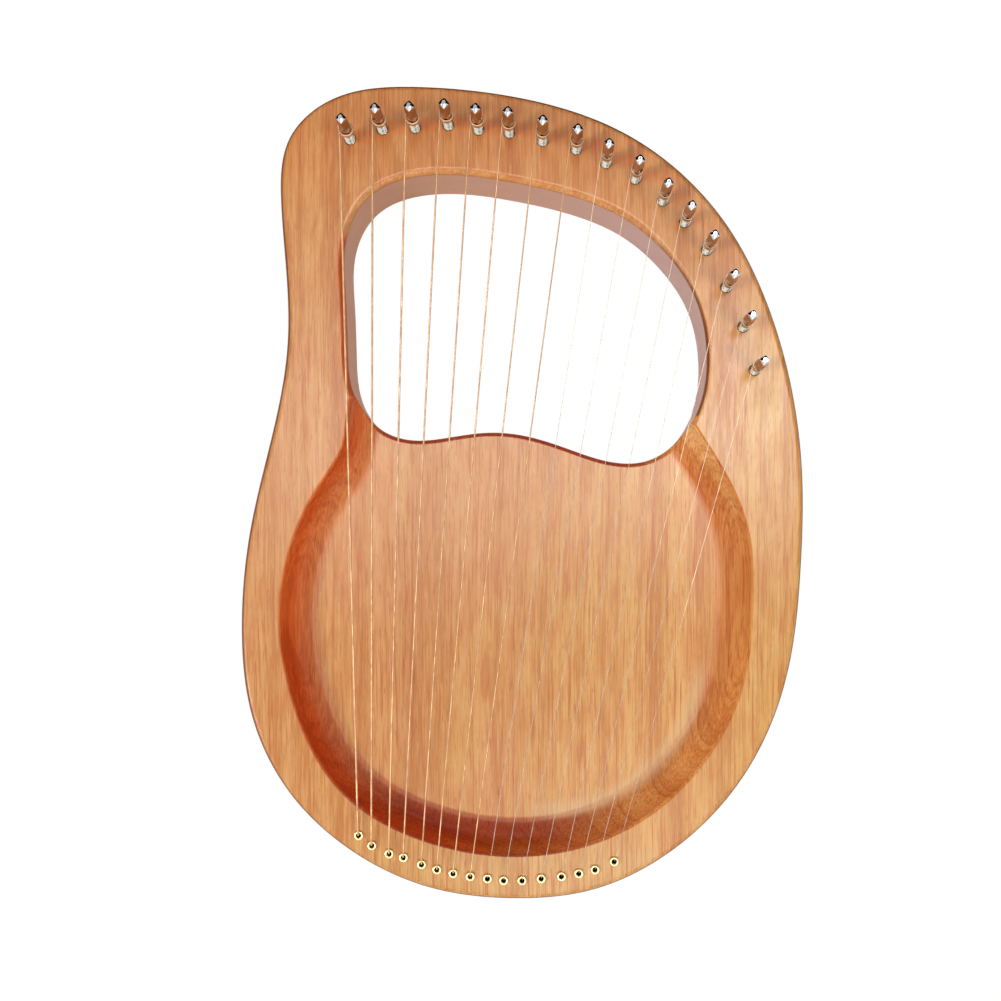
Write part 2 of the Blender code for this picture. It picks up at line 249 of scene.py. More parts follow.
def offset(loop, distance):
    """Moves a clockwise loop outwards by distance, or inwards where it is negative."""
    direction = np.roll(loop, -1, axis=0) - np.roll(loop, 1, axis=0)
    direction /= np.linalg.norm(direction, axis=1)[:, None]
    outward = np.stack([-direction[:, 1], direction[:, 0]], axis=1)
    return loop + outward * distance


def quarter(radius, steps):
    """Returns the (inset, drop) pairs of a quarter round, from the side wall to the flat face."""
    angles = [math.pi / 2 * step / steps for step in range(steps + 1)]
    return [(radius * (1 - math.cos(a)), radius * (1 - math.sin(a))) for a in angles]


def circle(radius, sides, centre=(0, 0)):
    """Returns the points of a circle, clockwise."""
    angles = -np.arange(sides) * 2 * math.pi / sides
    return np.stack([centre[0] + radius * np.cos(angles), centre[1] + radius * np.sin(angles)], axis=1)


def stack(levels):
    """Turns (loop, height) levels into rings of 3-D points."""
    return [[(x, y, height) for x, y in loop] for loop, height in levels]


def new_object(name, mesh):
    made = bpy.data.objects.new(name, mesh)
    bpy.context.scene.collection.objects.link(made)
    return made


def shade(mesh):
    mesh.shade_smooth()
    mesh.set_sharp_from_angle(angle=math.radians(SHARP_ANGLE))
    return mesh


def skin(name, *shells, closed=False):
    """Returns a mesh with one skin for each list of rings, capped unless closed joins its ends."""
    bm = bmesh.new()
    for rings in shells:
        placed = [[bm.verts.new(point) for point in ring] for ring in rings]
        pairs = list(zip(placed, placed[1:]))
        if closed:
            pairs.append((placed[-1], placed[0]))
        else:
            bm.faces.new(placed[0])
            bm.faces.new(placed[-1])
        for low, high in pairs:
            for i in range(len(low)):
                j = (i + 1) % len(low)
                bm.faces.new((low[i], low[j], high[j], high[i]))
    bmesh.ops.recalc_face_normals(bm, faces=bm.faces)
    mesh = bpy.data.meshes.new(name)
    bm.to_mesh(mesh)
    bm.free()
    return shade(mesh)


def carve(target, tool_mesh):
    """Cuts the tool's shape out of the target."""
    tool = new_object("tool", tool_mesh)
    change = target.modifiers.new("carve", "BOOLEAN")
    change.object = tool
    change.operation = "DIFFERENCE"
    change.solver = "EXACT"
    depsgraph = bpy.context.evaluated_depsgraph_get()
    shaped = bpy.data.meshes.new_from_object(target.evaluated_get(depsgraph))
    target.modifiers.clear()
    target.data = shade(shaped)
    bpy.data.objects.remove(tool)


def keep_flats_flat(piece):
    """Weights the shading by face size, so that a round edge doesn't bend the flat beside it."""
    weigh = piece.modifiers.new("flat_faces", "WEIGHTED_NORMAL")
    weigh.keep_sharp = True
    weigh.weight = 100


def number_name(stem, number):
    return f"{stem}_{number:02d}"


class Net:
    """Adds shader nodes to a material or world and links what it is given."""

    def __init__(self, owner):
        owner.use_nodes = True
        self.tree = owner.node_tree
        self.tree.nodes.clear()

    def __call__(self, kind, inputs=None, output=0, **settings):
        made = self.tree.nodes.new("ShaderNode" + kind)
        for key, value in settings.items():
            setattr(made, key, value)
        for key, value in (inputs or {}).items():
            socket = made.inputs[key]
            if isinstance(value, bpy.types.NodeSocket):
                self.tree.links.new(value, socket)
            else:
                socket.default_value = value
        return made.outputs[output] if len(made.outputs) else None

    def math(self, operation, a, b=0.0, c=0.0):
        return self("Math", {0: a, 1: b, 2: c}, operation=operation)

    def product(self, *factors):
        result = factors[0]
        for factor in factors[1:]:
            result = self.math("MULTIPLY", result, factor)
        return result

    def rest(self, share):
        """What a share leaves of one."""
        return self.math("SUBTRACT", 1.0, share)

    def vector(self, operation, a, b=(0, 0, 0)):
        return self("VectorMath", {0: a, 1: b}, operation=operation)

    def stretch(self, vector, *factors):
        """Multiplies x, y and z each by its own factor."""
        return self.vector("MULTIPLY", vector, factors)

    def length(self, vector):
        return self("VectorMath", {0: vector}, output=1, operation="LENGTH")

    def distance(self, a, b):
        return self("VectorMath", {0: a, 1: b}, output=1, operation="DISTANCE")

    def dot(self, a, b):
        return self("VectorMath", {0: a, 1: b}, output=1, operation="DOT_PRODUCT")

    def millimetres(self):
        """The point on the piece, in millimetres from the piece's own origin."""
        place = self("TexCoord", output=3)
        return self.stretch(place, 1000, 1000, 1000)

    def range(self, value, low, high, to_low=0.0, to_high=1.0):
        """Maps value from low..high to to_low..to_high, smoothly and clamped."""
        inputs = {"Value": value, "From Min": low, "From Max": high, "To Min": to_low, "To Max": to_high}
        return self("MapRange", inputs, interpolation_type="SMOOTHSTEP")

    def noise(self, vector, scale=1.0, detail=2.0, roughness=0.5, output=0):
        """Noise in space: a number, or a colour where output is 1."""
        inputs = {"Vector": vector, "Scale": scale, "Detail": detail, "Roughness": roughness}
        return self("TexNoise", inputs, output=output, noise_dimensions="3D")

    def noise_line(self, value, detail=2.0, roughness=0.5):
        """Noise along one number."""
        inputs = {"W": value, "Scale": 1.0, "Detail": detail, "Roughness": roughness}
        return self("TexNoise", inputs, noise_dimensions="1D")

    def mix(self, factor, a, b, blend="MIX"):
        """Mixes two colours."""
        made = self.tree.nodes.new("ShaderNodeMix")
        made.data_type = "RGBA"
        made.blend_type = blend
        made.clamp_factor = True
        for index, value in ((0, factor), (6, a), (7, b)):
            if isinstance(value, bpy.types.NodeSocket):
                self.tree.links.new(value, made.inputs[index])
            elif index == 0:
                made.inputs[0].default_value = value
            else:
                made.inputs[index].default_value = (*value, 1)
        return made.outputs[2]

    def times(self, a, b):
        """Multiplies two colours."""
        return self.mix(1.0, a, b, "MULTIPLY")

    def tint(self, share, colour, factor):
        """Multiplies a colour by a factor as far as the share says."""
        return self.mix(share, colour, self.times(colour, factor))

    def ramp(self, value, stops):
        """Turns a number into a colour through (position, colour) stops."""
        made = self("ValToRGB", {"Fac": value})
        elements = made.node.color_ramp.elements
        for element, (position, colour) in zip(elements, (stops[0], stops[-1])):
            element.position = position
            element.color = (*colour, 1)
        for position, colour in stops[1:-1]:
            elements.new(position).color = (*colour, 1)
        return made

    def surface(self, shader):
        self("OutputMaterial", {"Surface": shader})


class Grain:
    """The patterns in the wood: growth rings round a heart that lies outside the board, fibres and pores."""

    def __init__(self, net, mm):
        sway = net.noise(net.stretch(mm, 0.010, 0.0035, 0.010), output=1)
        sway = net.stretch(net.vector("SUBTRACT", sway, (0.5, 0.5, 0.5)), 12, 0, 12)
        ripple = net.noise(net.stretch(mm, 0.09, 0.012, 0.09), output=1)
        ripple = net.stretch(net.vector("SUBTRACT", ripple, (0.5, 0.5, 0.5)), 1.6, 0, 1.6)
        self.rippled = net.vector("ADD", mm, ripple)
        bent = net.vector("ADD", self.rippled, sway)
        self.ring = net.length(net.stretch(net.vector("SUBTRACT", bent, WOOD_HEART), 1, 0, 1))
        self.broad = net.noise_line(net.math("MULTIPLY", self.ring, 0.10))
        self.medium = net.noise_line(net.math("MULTIPLY", self.ring, 0.60), detail=3, roughness=0.65)
        self.fibre = net.noise(net.stretch(mm, 1.3, 0.05, 1.3), detail=3, roughness=0.6)
        self.lines = net.noise(net.stretch(bent, 0.95, 0.014, 0.95), roughness=0.6)
        self.fleck = net.noise(net.stretch(bent, 0.75, 0.07, 0.75), detail=3, roughness=0.6)
        self.patch = net.noise(net.stretch(mm, 0.045, 0.014, 0.045), detail=3)
        self.mottle = net.noise(net.stretch(self.rippled, 0.11, 0.06, 0.11), detail=3, roughness=0.6)
        self.pores = net.range(net.noise(net.stretch(mm, 2.2, 0.14, 2.2), detail=1), 0.64, 0.76)


class Places:
    """Which way the board's surface faces, and the parts of it that a point is on, from 0 to 1."""

    def __init__(self, net, mm):
        spots = net("SeparateXYZ", {0: mm}).node.outputs
        self.x, self.y = spots[0], spots[1]
        self.normal = net("NewGeometry", output=1)
        parts = net("SeparateXYZ", {0: self.normal}).node.outputs
        self.side, self.along, self.up = parts[0], parts[1], parts[2]
        self.slope = net.length(net.stretch(self.normal, 1, 1, 0))
        self.facing_up = net.range(self.up, 0.0, 0.05)
        self.upright = net.rest(net.range(net.math("ABSOLUTE", self.up), 0.05, 0.3))
        near_dish = net.range(net.distance(mm, DISH_MIDDLE), *DISH_REACH)
        self.in_dish = net.product(near_dish, self.facing_up)
        self.outside_dish = net.rest(self.in_dish)
        self.in_opening = net.range(net.distance(mm, OPENING_MIDDLE), *OPENING_REACH)
        self.on_left_arm = net.product(self.in_opening, self.facing_up, net.range(self.y, 126, 116))


def flat_wood(net, grain, places):
    """The board's colour where it is flat: warmer to the right, redder on the yoke, paler at the foot."""
    tone = net.math("MULTIPLY_ADD", grain.broad, 0.30, net.math("MULTIPLY", grain.medium, 0.25))
    tone = net.math("MULTIPLY_ADD", grain.fibre, 0.45, tone)
    colour = net.ramp(net.range(tone, 0.36, 0.66), RAMP_WOOD)

    warm = net.math("MULTIPLY_ADD", places.y, -0.0022, 0.10)
    warm = net.math("MULTIPLY_ADD", places.x, 0.0030, warm)
    warm = net.math("ADD", warm, net.math("MULTIPLY_ADD", grain.patch, 1.6, -0.7))
    hue = net.mix(net.range(warm, 0.0, 0.8), (1.0, 0.975, 0.95), (1.02, 1.09, 0.91))
    hue = net.mix(net.range(places.y, 120, 165), hue, (1.0, 0.89, 0.76))
    hue = net.mix(net.range(places.y, -160, -175), hue, (1.01, 1.18, 1.14))
    hue = net.tint(net.range(places.x, 98, 118), hue, (1.02, 1.09, 1.04))
    mottle = net.mix(net.range(grain.mottle, 0.38, 0.62), (1.02, 1.06, 1.08), (0.985, 0.94, 0.89))
    colour = net.times(colour, net.times(hue, mottle))

    colour = net.mix(net.product(net.range(grain.fleck, 0.55, 0.70), 0.6), colour, DARK_FLECK)
    colour = net.mix(net.product(net.range(grain.fleck, 0.42, 0.28), 0.5), colour, PALE_FLECK)
    colour = net.mix(net.product(net.range(grain.lines, 0.57, 0.66), 0.75), colour, DARK_LINE)
    from_streak = net.vector("SUBTRACT", grain.rippled, STREAK_MIDDLE)
    from_streak = net.length(net.stretch(from_streak, 1 / STREAK_SIZE[0], 1 / STREAK_SIZE[1], 0))
    streak = net.range(from_streak, 1.0, 0.5)
    colour = net.mix(net.product(streak, 0.6), colour, DARK_STREAK)
    return net.mix(net.product(grain.pores, 0.45), colour, PORE)


def painted_pin_shadows(net, grain, places, colour, pins):
    """A painted shadow to the right of each pin, redder than the lamps' own shadow there, fainter towards the
    right arm.
    """
    nearest = 10.0
    for x, y in pins / MM:
        beside = net.vector("SUBTRACT", grain.rippled, (x + PIN_SHADOW_SHIFT[0], y + PIN_SHADOW_SHIFT[1], 0))
        distance = net.length(net.stretch(beside, 1 / PIN_SHADOW_SIZE[0], 1 / PIN_SHADOW_SIZE[1], 0))
        nearest = net.math("MINIMUM", distance, nearest)
    share = net.product(net.range(nearest, 1.3, 0.4), net.range(places.x, 50, 90, 1.0, 0.4))
    return net.tint(share, colour, (1.0, 0.77, 0.55))


def left_slope_shade(net, places, colour):
    """Painted shade on the dish's left slope and on the opening's edge on the left arm, with a darker painted
    line on that edge.
    """
    in_hollow = net.math("MAXIMUM", places.in_dish, places.on_left_arm)
    colour = net.tint(in_hollow, colour, net.ramp(places.side, LEFT_SLOPE_SHADE))
    # painted shade on the arm's rounded edge, which faces away from the key lamp
    arm_edge = net.product(places.on_left_arm, net.range(places.side, 0.1, 0.5), places.outside_dish)
    return net.tint(arm_edge, colour, (0.80, 0.70, 0.60))


def dish_slope_shade_and_grain(net, grain, places, colour):
    """The other slopes of the dish: painted shade and painted light by the way each slope faces, at the foot
    partly also the darker end grain, with their fibres and growth rings cut across.
    """
    side, along, slope = places.side, places.along, places.slope
    # painted shade on the right slope and at the foot, where the darker end grain also shows
    slopes = net.ramp(net.product(side, -1.0), RIGHT_SLOPE_SHADE)
    level_length = net.math("MAXIMUM", slope, 0.01)
    turned = net.math("DIVIDE", side, level_length)
    foot_share = net.product(net.range(turned, -0.65, 0.0, 0.05), net.range(turned, 0.25, 0.95, 1.0, 0.5))
    slopes = net.tint(foot_share, slopes, net.ramp(along, FOOT_SHADE_AND_END_GRAIN))
    # painted light on the lower right slope, painted shade on the lower left
    lower = net.product(side, net.math("MAXIMUM", along, 0.0))
    slopes = net.tint(net.range(lower, 0.0, -0.2), slopes, (1.20, 1.33, 1.42))
    slopes = net.tint(net.range(lower, 0.0, 0.2), slopes, (1.06, 0.92, 0.72))
    raised = net.math("DIVIDE", along, level_length)
    # painted light and shade at the upper right, by how steep the slope is
    upper_share = net.product(net.range(raised, -0.2, -0.6), net.range(side, 0.0, -0.1))
    steepness = net.math("ADD", slope, net.range(places.y, 5, 25, 0.0, 0.15))
    slopes = net.tint(upper_share, slopes, net.ramp(steepness, UPPER_RIGHT_LIGHT_AND_SHADE))
    colour = net.tint(places.in_dish, colour, slopes)

    cut_fibre = net.mix(net.range(grain.fibre, 0.40, 0.60), (1.03, 1.06, 1.08), (0.97, 0.93, 0.90))
    colour = net.tint(net.product(net.range(slope, 0.05, 0.3), places.in_dish), colour, cut_fibre)
    growth = net.range(net.noise_line(net.math("MULTIPLY", grain.ring, 0.9), detail=1), 0.56, 0.66)
    growth = net.product(growth, net.range(slope, 0.1, 0.4), places.in_dish, 0.3)
    return net.tint(growth, colour, (0.72, 0.50, 0.42))


def painted_sheen_arc(net, mm, places, colour):
    """A painted sheen: a pale arc on the dish's floor, where the cove begins at the lower right."""
    from_middle = net.distance(mm, ARC_MIDDLE)
    arc = net.product(net.range(from_middle, 67.5, 73.5), net.range(from_middle, 79.5, 76))
    ends = net.product(net.range(places.x, -4, 14), net.range(places.y, -76, -94, 0.0, 0.3))
    return net.mix(net.product(arc, ends, places.in_dish), colour, PAINTED_SHEEN)


def edge_light_and_shade(net, places, colour):
    """The rounded edges, with painted light and shade: painted shade at the upper left, a painted highlight
    at the lower right, and a thin painted dark line outside.
    """
    up, facing_up, outside_dish = places.up, places.facing_up, places.outside_dish
    shaded = net.dot(places.normal, (-0.6, 0.8, 0))
    # painted shade where the edge faces up and left, painted highlight where it faces down and right
    edge_shade_and_highlight = net.mix(net.range(shaded, -0.5, 0.4), (1.14, 1.25, 1.38), (0.36, 0.19, 0.13))
    colour = net.tint(net.product(net.range(up, 0.94, 0.78), facing_up, outside_dish), colour, edge_shade_and_highlight)
    # painted shade on the steep outer part of each rounding
    crease_shade = net.range(net.math("MULTIPLY_ADD", places.in_opening, 0.35, up), 0.82, 0.58)
    colour = net.tint(net.product(crease_shade, facing_up, outside_dish), colour, (0.72, 0.58, 0.52))
    # a thin painted dark line on the edges that face down and right
    line = net.product(net.range(up, 0.84, 0.66), net.range(shaded, 0.2, -0.3), facing_up, outside_dish)
    return net.tint(net.product(line, net.rest(places.in_opening)), colour, (0.46, 0.24, 0.16))


def opening_wall(net, places, colour):
    """The opening's wall: darker red-brown end grain, with a painted sheen, the white floor's reflection,
    that makes it greyer and paler where it faces left.
    """
    # painted sheen where the wall faces left, red-brown end grain elsewhere
    wall = net.mix(net.range(places.side, -0.7, 0.1), (0.65, 0.44, 0.41), (0.64, 0.355, 0.245))
    share = net.product(places.upright, places.in_opening, 0.8, places.outside_dish)
    return net.mix(share, colour, wall)


def wood_material(pins):
    """Straight-grained red-brown hardwood under satin lacquer, as one solid block of growth rings, with
    painted shade, shadows and highlights in its colour.
    """
    made = bpy.data.materials.new("board_wood")
    net = Net(made)
    mm = net.millimetres()
    grain = Grain(net, mm)
    places = Places(net, mm)
    colour = flat_wood(net, grain, places)
    colour = painted_pin_shadows(net, grain, places, colour, pins)
    colour = left_slope_shade(net, places, colour)
    colour = dish_slope_shade_and_grain(net, grain, places, colour)
    colour = painted_sheen_arc(net, mm, places, colour)
    colour = edge_light_and_shade(net, places, colour)
    colour = opening_wall(net, places, colour)

    relief = net.math("MULTIPLY_ADD", grain.fibre, 0.4, net.product(grain.pores, -0.6))
    bump = net("Bump", {"Height": relief, "Strength": 0.25, "Distance": 0.0001})
    rough = net.range(net.noise(net.stretch(mm, 0.6, 0.05, 0.6)), 0.3, 0.7, 0.26, 0.33)
    rough = net.math("MULTIPLY_ADD", places.upright, 0.3, rough)
    sloped = net.product(net.range(places.up, 0.998, 0.97), places.in_dish)
    steep = net.product(net.range(places.up, 0.9, 0.78), net.range(places.side, -0.2, -0.02))
    rough = net.math("MULTIPLY_ADD", sloped, net.math("MULTIPLY_ADD", steep, -0.4, 0.5), rough)
    net.surface(net("BsdfPrincipled", {
        "Base Color": colour, "Roughness": rough, "Normal": bump, "Specular IOR Level": 0.25,
    }))
    return made


def steel_pin_material():
    """Plated steel with painted reflections in its colour: pale on the thread, brown on the shank, where the
    wood is reflected, dark blue-grey on the flat top, and bright on the milled head.
    """
    made = bpy.data.materials.new("plated_steel")
    net = Net(made)
    mm = net.millimetres()
    height = net("SeparateXYZ", {0: mm}).node.outputs[2]
    marks = net.noise(net.stretch(mm, 1.0, 1.0, 14.0))
    smudge = net.noise(mm, scale=0.4)
    above_thread = net.range(height, 7.6, 8.4)
    on_head = net.range(height, 19.0, 19.9)
    from_axis = net.length(net.stretch(mm, 1, 1, 0))
    on_flat_top = net.product(net.range(height, 21.3, 21.4), net.range(from_axis, 0.6, 0.4))
    # painted highlight on the thread: pale, as if lit from above, speckled darker
    thread_speckle = net.range(net.noise(mm, scale=0.9), 0.48, 0.62)
    thread = net.mix(thread_speckle, (0.78, 0.78, 0.70), (0.48, 0.49, 0.40))
    # painted reflection of the wood on the shank above the thread
    colour = net.mix(above_thread, thread, (0.47, 0.33, 0.24))
    colour = net.mix(on_head, colour, (0.68, 0.69, 0.72))
    # painted reflection, dark blue-grey, on the flat top
    colour = net.mix(on_flat_top, colour, (0.22, 0.25, 0.32))
    colour = net.tint(net.range(smudge, 0.3, 0.7), colour, (0.86, 0.86, 0.86))
    dull = net.math("MULTIPLY_ADD", on_flat_top, 0.4, net.range(above_thread, 0.0, 1.0, 0.10, 0.0))
    rough = net.math("ADD", net.range(smudge, 0.3, 0.75, 0.08, 0.16), dull)
    bump = net("Bump", {"Height": marks, "Strength": 0.08, "Distance": 0.0001})
    net.surface(net("BsdfPrincipled", {
        "Base Color": colour, "Roughness": rough, "Normal": bump, "Metallic": 1.0,
    }))
    return made


def wire_material(name, light, dark, far_from_pin_shade, pitch, depth, roughness):
    """Drawn or wound wire: light and dark tones, ribs every pitch, and a painted shade away from its pin,
    which leaves it brighter near the pin.
    """
    made = bpy.data.materials.new(name)
    net = Net(made)
    along = net("Attribute", output=2, attribute_name="along")
    turn = net.math("MULTIPLY", along, 2 * math.pi / pitch)
    rib = net.math("MULTIPLY_ADD", net.math("SINE", turn), 0.5, 0.5)
    place = net("TexCoord", output=3)
    tarnish = net.noise(place, scale=220, detail=3)
    tone = net.math("MULTIPLY_ADD", net.range(tarnish, 0.3, 0.7), 0.6, net.product(rib, 0.4))
    colour = net.mix(tone, dark, light)
    # painted shade on the wire away from its pin
    colour = net.tint(net.range(along, 0.11, 0.18), colour, far_from_pin_shade)
    bump = net("Bump", {"Height": rib, "Strength": depth, "Distance": 0.0001})
    rough = net.range(tarnish, 0.3, 0.7, roughness * 1.25, roughness * 0.8)
    net.surface(net("BsdfPrincipled", {
        "Base Color": colour, "Roughness": rough, "Normal": bump, "Metallic": 1.0,
    }))
    return made


def brass_material():
    """Pressed brass with a little tarnish, and painted shade inside its tube."""
    made = bpy.data.materials.new("eyelet_brass")
    net = Net(made)
    place = net("TexCoord", output=3)
    tarnish = net.noise(place, scale=500, detail=3)
    colour = net.mix(net.range(tarnish, 0.35, 0.75), (0.94, 0.76, 0.40), (0.84, 0.62, 0.27))
    height = net("SeparateXYZ", {0: place}).node.outputs[2]
    # painted shade inside the tube, below the face
    colour = net.mix(net.range(height, 0.0004, -0.0002), colour, (0.03, 0.02, 0.012))
    rough = net.range(tarnish, 0.3, 0.7, 0.36, 0.48)
    bump = net("Bump", {"Height": tarnish, "Strength": 0.05, "Distance": 0.0001})
    net.surface(net("BsdfPrincipled", {
        "Base Color": colour, "Roughness": rough, "Normal": bump, "Metallic": 1.0,
    }))
    return made


def dress(piece, look, body, slot, *nodes):
    """Gives a piece its material and its body, and hides the nodes that it stands for; the slot is not used.
    """
    piece.data.materials.clear()
    piece.data.materials.append(look)
    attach(piece, body)
    if nodes:
        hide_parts(*nodes)


def ease_in(values, low, high):
    """Goes smoothly from 0 at low to 1 at high."""
    share = np.clip((values - low) / (high - low), 0, 1)
    return share * share * (3 - 2 * share)


def face_round(hole):
    """The radius of the opening's front edge at each point: wider under the yoke, widest on the left arm."""
    x, y = hole[:, 0], hole[:, 1]
    top = ease_in(y, *YOKE_START)
    left = ease_in(-x, *ARM_SIDE) * ease_in(y, *ARM_FOOT) * (1 - top)
    return FACE_ROUND + (LEFT_FACE_ROUND - FACE_ROUND) * left + (TOP_FACE_ROUND - FACE_ROUND) * top


def face_height(points, edge):
    """The height of the board's front at each point, with the dish whose wall stands on the edge loop."""
    after = np.roll(edge, -1, axis=0)
    run = after - edge
    heights = []
    for x, y in points:
        share = np.clip((((x, y) - edge) * run).sum(axis=1) / (run * run).sum(axis=1), 0, 1)
        nearest = edge + run * share[:, None]
        distance = np.linalg.norm(nearest - (x, y), axis=1).min()
        crossed = (edge[:, 1] > y) != (after[:, 1] > y)
        where = edge[:, 0] + (y - edge[:, 1]) / np.where(crossed, run[:, 1], 1) * run[:, 0]
        inside = np.count_nonzero(crossed & (where > x)) % 2 == 1
        if inside:
            level = max(0, 1 - distance / COVE_WIDTH)
            heights.append(THICKNESS - DISH_DEPTH + COVE_HEIGHT * (1 - math.sqrt(1 - level * level)))
        else:
            level = max(0, 1 - distance / DISH_EASE)
            heights.append(THICKNESS - DISH_EASE * (1 - math.sqrt(1 - level * level)))
    return np.array(heights)


def make_board(pins, eyelets):
    outline = smooth_loop(BOARD_OUTLINE, BOARD_POINTS)
    back = [(offset(outline, -inset), drop) for inset, drop in quarter(BACK_ROUND, BACK_STEPS)]
    rounding = quarter(FRONT_ROUND, FRONT_STEPS)
    front = [(offset(outline, -inset), THICKNESS - drop) for inset, drop in rounding]
    board = new_object("harp_board", skin("board", stack(back[::-1] + front)))

    rim = smooth_loop(DISH_OUTLINE, DISH_POINTS)
    edge = offset(rim, DISH_EASE_OUT - DISH_EASE)
    floor = THICKNESS - DISH_DEPTH
    cove = []
    for inset, rise in quarter(1, COVE_STEPS):
        cove.append((offset(edge, -inset * COVE_WIDTH), floor + rise * COVE_HEIGHT))
    rounding = quarter(DISH_EASE, EASE_STEPS)
    ease = [(offset(edge, inset), THICKNESS - drop) for inset, drop in rounding[1:]]
    top = [(offset(edge, DISH_EASE), THICKNESS + CUT_PAST)]
    carve(board, skin("dish", stack(cove[::-1] + ease + top)))

    hole = smooth_loop(OPENING_OUTLINE, OPENING_POINTS)
    flare = [(offset(hole, reach), drop) for reach, drop in quarter(OPENING_ROUND, BACK_STEPS)]
    lower = stack([(flare[-1][0], -CUT_PAST)] + flare[::-1])
    radius = face_round(hole)
    brim = offset(hole, radius[:, None])
    level = face_height(brim, edge)
    upper = []
    for reach, drop in quarter(1, BRIM_STEPS):
        loop = offset(hole, reach * radius[:, None])
        upper.append([(x, y, z) for (x, y), z in zip(loop, level - drop * radius)])
    upper += stack([(brim, THICKNESS + CUT_PAST)])
    carve(board, skin("opening", lower + upper))

    wells = []
    for pin in pins:
        ring = circle(PIN_RADIUS + GAP, HOLE_SIDES, pin)
        wells.append(stack([(ring, THICKNESS - PIN_IN_BOARD - GAP), (ring, THICKNESS + CUT_PAST)]))
    for eyelet in eyelets:
        recess = circle(RECESS_RADIUS, HOLE_SIDES, eyelet)
        bore = circle(EYELET_TUBE + GAP, HOLE_SIDES, eyelet)
        wide = [(recess, -CUT_PAST), (recess, RECESS_DEPTH)]
        narrow = [(bore, RECESS_DEPTH), (bore, THICKNESS + CUT_PAST)]
        wells.append(stack(wide + narrow))
    carve(board, skin("holes", *wells))
    keep_flats_flat(board)
    return board


def head_reach(height):
    """Half the width across the milled flats at a height above the face."""
    half = PIN_HEAD_WIDTH / 2
    if height < PIN_SQUARE_FROM:
        into = min(1.0, (PIN_SQUARE_FROM - height) / PIN_RUN_OUT)
        return half + (PIN_RADIUS - half) * (1 - math.sqrt(1 - into * into))
    share = (height - PIN_SQUARE_FROM) / (PIN_ABOVE_FACE - PIN_SQUARE_FROM)
    return half * (1 - (1 - PIN_HEAD_TAPER) * share)


def pin_mesh():
    """A pin on its own axis: threaded in the wood and just above it, round, then square at the head."""
    square_starts = PIN_SQUARE_FROM - PIN_RUN_OUT
    levels = [PIN_TIP_CHAMFER - PIN_IN_BOARD, THREAD_BOTTOM]
    levels += list(np.arange(THREAD_BOTTOM + 0.1 * MM, THREAD_TOP, THREAD_PITCH / THREAD_STEPS))
    levels += list(np.arange(THREAD_TOP, square_starts, SHANK_STEP))
    levels += list(np.linspace(square_starts, PIN_SQUARE_FROM, RUN_OUT_LEVELS))
    levels += list(np.linspace(PIN_ABOVE_FACE - PIN_CONE_HEIGHT, PIN_ABOVE_FACE, PIN_CONE_LEVELS))
    angles = -np.arange(PIN_SIDES) * 2 * math.pi / PIN_SIDES
    rings = [[(*point, -PIN_IN_BOARD) for point in circle(PIN_RADIUS - PIN_TIP_CHAMFER, PIN_SIDES)]]
    for height in levels:
        ring = []
        for angle in angles:
            cut = 0.0
            if THREAD_BOTTOM < height < THREAD_TOP:
                phase = (height / THREAD_PITCH - angle / (2 * math.pi)) % 1
                fade = min(1, (THREAD_TOP - height) / THREAD_FADE)
                cut = THREAD_DEPTH * (1 - abs(2 * phase - 1)) * fade
            reach = PIN_RADIUS - cut
            if height > square_starts:
                across = max(abs(math.cos(angle + math.pi / 4)), abs(math.sin(angle + math.pi / 4)))
                cone = PIN_TOP_RADIUS + (PIN_ABOVE_FACE - height) / PIN_CONE_SLOPE
                reach = min(reach, head_reach(height) / across, cone)
            ring.append((reach * math.cos(angle), reach * math.sin(angle), height))
        rings.append(ring)
    pin = new_object("pin", skin("tuning_pin", rings))
    hole_ring = circle(CROSS_HOLE_RADIUS, CROSS_HOLE_SIDES)
    ends = (-2 * PIN_RADIUS, 2 * PIN_RADIUS)
    carve(pin, skin("cross_hole", [[(x, y, CROSS_HOLE_HEIGHT + z) for y, z in hole_ring] for x in ends]))
    mesh = pin.data
    bpy.data.objects.remove(pin)
    return mesh


def eyelet_mesh():
    """A pressed eyelet on its own axis: a rolled, domed flange on a short tube."""
    middle = (EYELET_FLANGE + EYELET_BORE) / 2
    half = (EYELET_FLANGE - EYELET_BORE) / 2
    dome = []
    crest = EYELET_HEIGHT - EYELET_LIP
    for angle in np.linspace(0, math.pi, EYELET_DOME_POINTS):
        dome.append((middle + half * math.cos(angle), GAP + EYELET_LIP + crest * math.sin(angle)))
    dome[-1] = (EYELET_BORE, dome[-1][1])
    profile = [(EYELET_BORE, -EYELET_LENGTH), (EYELET_TUBE, -EYELET_LENGTH), (EYELET_TUBE, GAP)]
    profile += [(EYELET_FLANGE - EYELET_UNDERCUT, GAP), *dome]
    rings = stack([(circle(radius, HOLE_SIDES), height) for radius, height in profile])
    return skin("eyelet", rings, closed=True)


